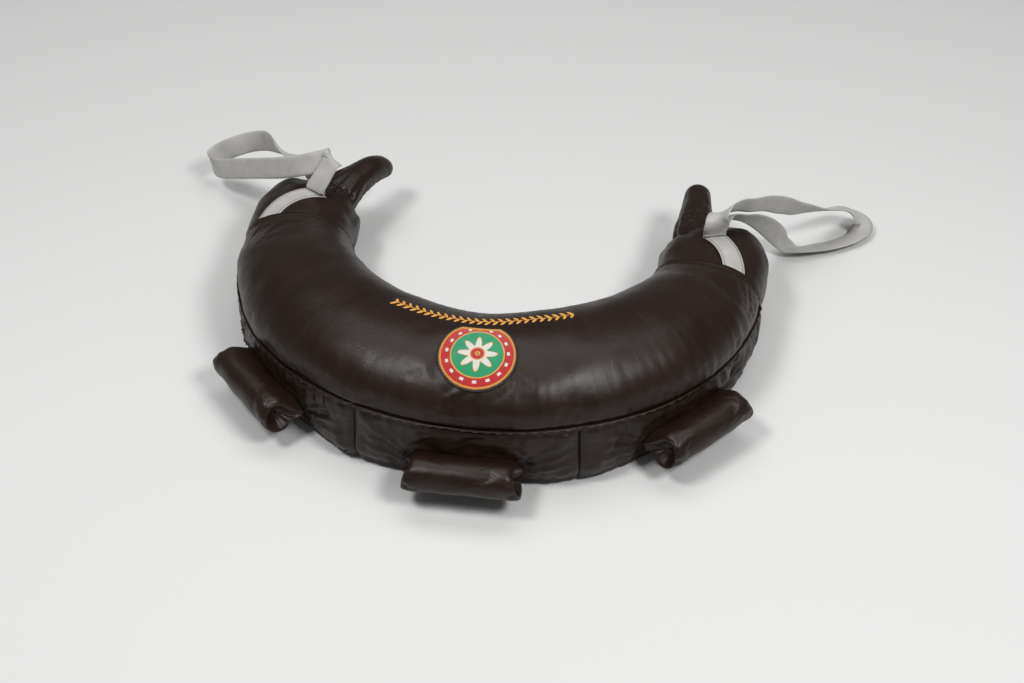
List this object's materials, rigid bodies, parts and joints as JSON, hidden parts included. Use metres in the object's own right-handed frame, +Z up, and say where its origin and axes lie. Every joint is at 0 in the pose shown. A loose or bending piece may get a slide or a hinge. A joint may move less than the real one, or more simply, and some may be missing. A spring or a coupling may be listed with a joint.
{
  "type": "bulgarian bag",
  "caption": "Crescent leather training bag filled with wool and sand, with stuffed horns at its ends, roll grips on its outer curve and webbing wrist loops",
  "frame": {"origin": "On the flat bottom panel, under the middle line of the tube at the middle of the crescent, at floor height.", "axes": "+X to the right along the bag's longest side, +Y from the outer curve towards the horns, +Z up from the floor"},
  "size_m": [0.827, 0.5523, 0.1491],
  "materials": {
    "leather": "smooth dark brown cowhide with a soft shine, faint streaks and fine grain",
    "webbing": "matte silver-grey woven polyester webbing",
    "embroidery": "gold, red, green and white satin stitch with an overlocked edge",
    "wool": "pressed raw wool",
    "canvas": "plain cotton canvas packed with sand",
    "foam": "closed-cell foam"
  },
  "bodies": {
    "bag": {"top_panel": "leather", "bottom_panel": "leather", "outer_band_left": "leather", "outer_band_centre": "leather", "outer_band_right": "leather", "inner_band_left": "leather", "inner_band_centre": "leather", "inner_band_right": "leather", "end_cuff_left": "leather", "end_cuff_right": "leather", "strap_anchor_left": "webbing", "strap_anchor_right": "webbing", "round_patch": "embroidery", "wool_sleeve": "wool", "wool_plug_left": "wool", "wool_plug_right": "wool", "sand_bag_left": "canvas", "sand_bag_centre": "canvas", "sand_bag_right": "canvas"},
    "loop_left": {"wrist_strap_left": "webbing"},
    "loop_right": {"wrist_strap_right": "webbing"},
    "horn_left": {"horn_cover_left": "leather", "horn_core_left": "wool"},
    "horn_right": {"horn_cover_right": "leather", "horn_core_right": "wool"},
    "grip_left": {"grip_cover_left": "leather", "grip_core_left": "foam"},
    "grip_centre": {"grip_cover_centre": "leather", "grip_core_centre": "foam"},
    "grip_right": {"grip_cover_right": "leather", "grip_core_right": "foam"}
  },
  "joints": [
    {"name": "loop_left_fold", "type": "hinge", "parent": "bag", "child": "loop_left", "pos_m": [-0.22203, 0.24302, 0.10613], "axis": [0.9023, -0.4311, 0], "range_deg": [-20, 70], "stiffness_Nm_per_rad": 0.3, "springref_deg": 4.58},
    {"name": "loop_right_fold", "type": "hinge", "parent": "bag", "child": "loop_right", "pos_m": [0.23363, 0.24501, 0.10647], "axis": [0.9326, 0.361, 0], "range_deg": [0, 70], "stiffness_Nm_per_rad": 0.3, "springref_deg": 4.58},
    {"name": "horn_left_bend", "type": "hinge", "parent": "bag", "child": "horn_left", "pos_m": [-0.21002, 0.28016, 0.069], "axis": [0, 0, 1], "range_deg": [-20, 20], "stiffness_Nm_per_rad": 0.8},
    {"name": "horn_right_bend", "type": "hinge", "parent": "bag", "child": "horn_right", "pos_m": [0.21002, 0.28016, 0.069], "axis": [0, 0, 1], "range_deg": [-20, 20], "stiffness_Nm_per_rad": 0.8},
    {"name": "grip_left_lift", "type": "hinge", "parent": "bag", "child": "grip_left", "pos_m": [-0.20729, 0.00015, 0.047], "axis": [-0.7319, 0.6814, 0], "range_deg": [-30, 45], "stiffness_Nm_per_rad": 0.5, "springref_deg": 2.86},
    {"name": "grip_centre_lift", "type": "hinge", "parent": "bag", "child": "grip_centre", "pos_m": [0.01756, -0.07827, 0.047], "axis": [-0.9986, -0.053, 0], "range_deg": [-30, 45], "stiffness_Nm_per_rad": 0.5, "springref_deg": 2.86},
    {"name": "grip_right_lift", "type": "hinge", "parent": "bag", "child": "grip_right", "pos_m": [0.23105, 0.02515, 0.047], "axis": [-0.6438, -0.7652, 0], "range_deg": [-30, 45], "stiffness_Nm_per_rad": 0.5, "springref_deg": 2.86}
  ]
}
